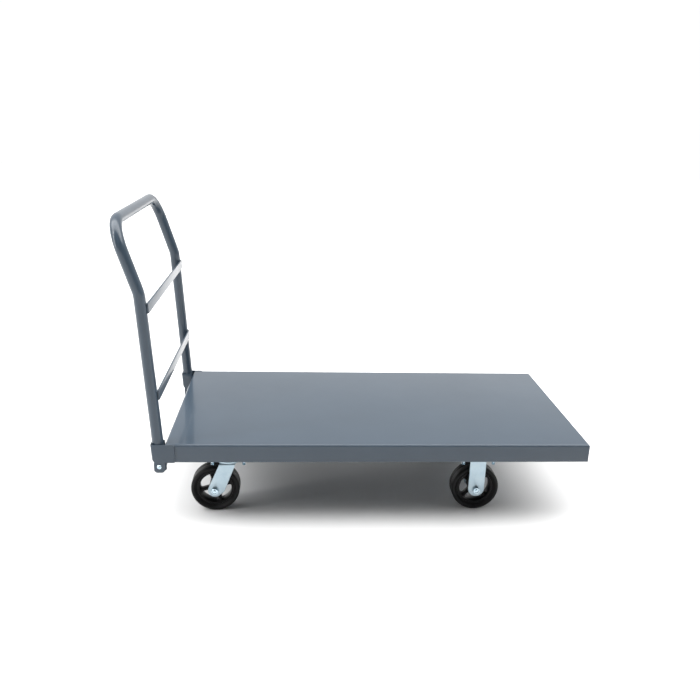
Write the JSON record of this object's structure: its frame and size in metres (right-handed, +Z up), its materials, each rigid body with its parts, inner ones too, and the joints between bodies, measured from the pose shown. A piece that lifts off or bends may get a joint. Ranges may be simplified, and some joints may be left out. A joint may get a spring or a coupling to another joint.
{
  "type": "platform cart",
  "caption": "Low sheet-steel platform cart with a lift-out push handle at one end, swivel casters under that end and fixed casters under the other.",
  "frame": {"origin": "on the floor, under the centre of the bounding box", "axes": "+X along the deck from the handle end to the free end, +Y to the left of a person pushing from the handle, +Z up"},
  "size_m": [1.3436, 0.6264, 0.8918],
  "materials": {
    "paint": "semi-gloss blue-grey enamel",
    "zinc": "bright bluish zinc plate",
    "tyre": "matte moulded rubber",
    "core": "black painted casting",
    "bushing": "turned steel"
  },
  "bodies": {
    "frame": {"deck_pan": "paint", "caster_bolster_handle_end": "paint", "caster_bolster_free_end": "paint", "cross_stiffener_handle_end": "paint", "cross_stiffener_free_end": "paint", "handle_socket_right": "paint", "stop_bolt_right": "zinc", "stop_nut_right": "zinc", "rigid_right_plate": "zinc", "rigid_right_fork": "zinc", "rigid_right_axle_bolt": "zinc", "rigid_right_axle_nut": "zinc", "rigid_right_bushing": "bushing", "swivel_right_plate": "zinc", "swivel_right_kingpin": "zinc", "swivel_right_kingpin_nut": "zinc", "handle_socket_left": "paint", "stop_bolt_left": "zinc", "stop_nut_left": "zinc", "rigid_left_plate": "zinc", "rigid_left_fork": "zinc", "rigid_left_axle_bolt": "zinc", "rigid_left_axle_nut": "zinc", "rigid_left_bushing": "bushing", "swivel_left_plate": "zinc", "swivel_left_kingpin": "zinc", "swivel_left_kingpin_nut": "zinc"},
    "handle": {"handle_tube": "paint", "crossbar_upper": "paint", "crossbar_lower": "paint"},
    "swivel_right": {"swivel_right_race": "zinc", "swivel_right_yoke": "zinc", "swivel_right_axle_bolt": "zinc", "swivel_right_axle_nut": "zinc", "swivel_right_bushing": "bushing"},
    "wheel_swivel_right": {"swivel_right_wheel_core": "core", "swivel_right_tyre": "tyre"},
    "wheel_rigid_right": {"rigid_right_wheel_core": "core", "rigid_right_tyre": "tyre"},
    "swivel_left": {"swivel_left_race": "zinc", "swivel_left_yoke": "zinc", "swivel_left_axle_bolt": "zinc", "swivel_left_axle_nut": "zinc", "swivel_left_bushing": "bushing"},
    "wheel_swivel_left": {"swivel_left_wheel_core": "core", "swivel_left_tyre": "tyre"},
    "wheel_rigid_left": {"rigid_left_wheel_core": "core", "rigid_left_tyre": "tyre"}
  },
  "joints": [
    {"name": "handle_lift", "type": "slide", "parent": "frame", "child": "handle", "axis": [-0.0647, 0, 0.9979], "range_m": [0, 0.12]},
    {"name": "swivel_right_turn", "type": "hinge", "parent": "frame", "child": "swivel_right", "pos_m": [-0.38039, -0.1868, 0.164], "axis": [0, 0, 1], "continuous": true},
    {"name": "swivel_left_turn", "type": "hinge", "parent": "frame", "child": "swivel_left", "pos_m": [-0.38039, 0.1868, 0.164], "axis": [0, 0, 1], "continuous": true},
    {"name": "swivel_right_roll", "type": "hinge", "parent": "swivel_right", "child": "wheel_swivel_right", "pos_m": [-0.42189, -0.1868, 0.0725], "axis": [0, 1, 0], "continuous": true},
    {"name": "swivel_left_roll", "type": "hinge", "parent": "swivel_left", "child": "wheel_swivel_left", "pos_m": [-0.42189, 0.1868, 0.0725], "axis": [0, 1, 0], "continuous": true},
    {"name": "rigid_right_roll", "type": "hinge", "parent": "frame", "child": "wheel_rigid_right", "pos_m": [0.36961, -0.1868, 0.0725], "axis": [0, 1, 0], "continuous": true},
    {"name": "rigid_left_roll", "type": "hinge", "parent": "frame", "child": "wheel_rigid_left", "pos_m": [0.36961, 0.1868, 0.0725], "axis": [0, 1, 0], "continuous": true}
  ]
}
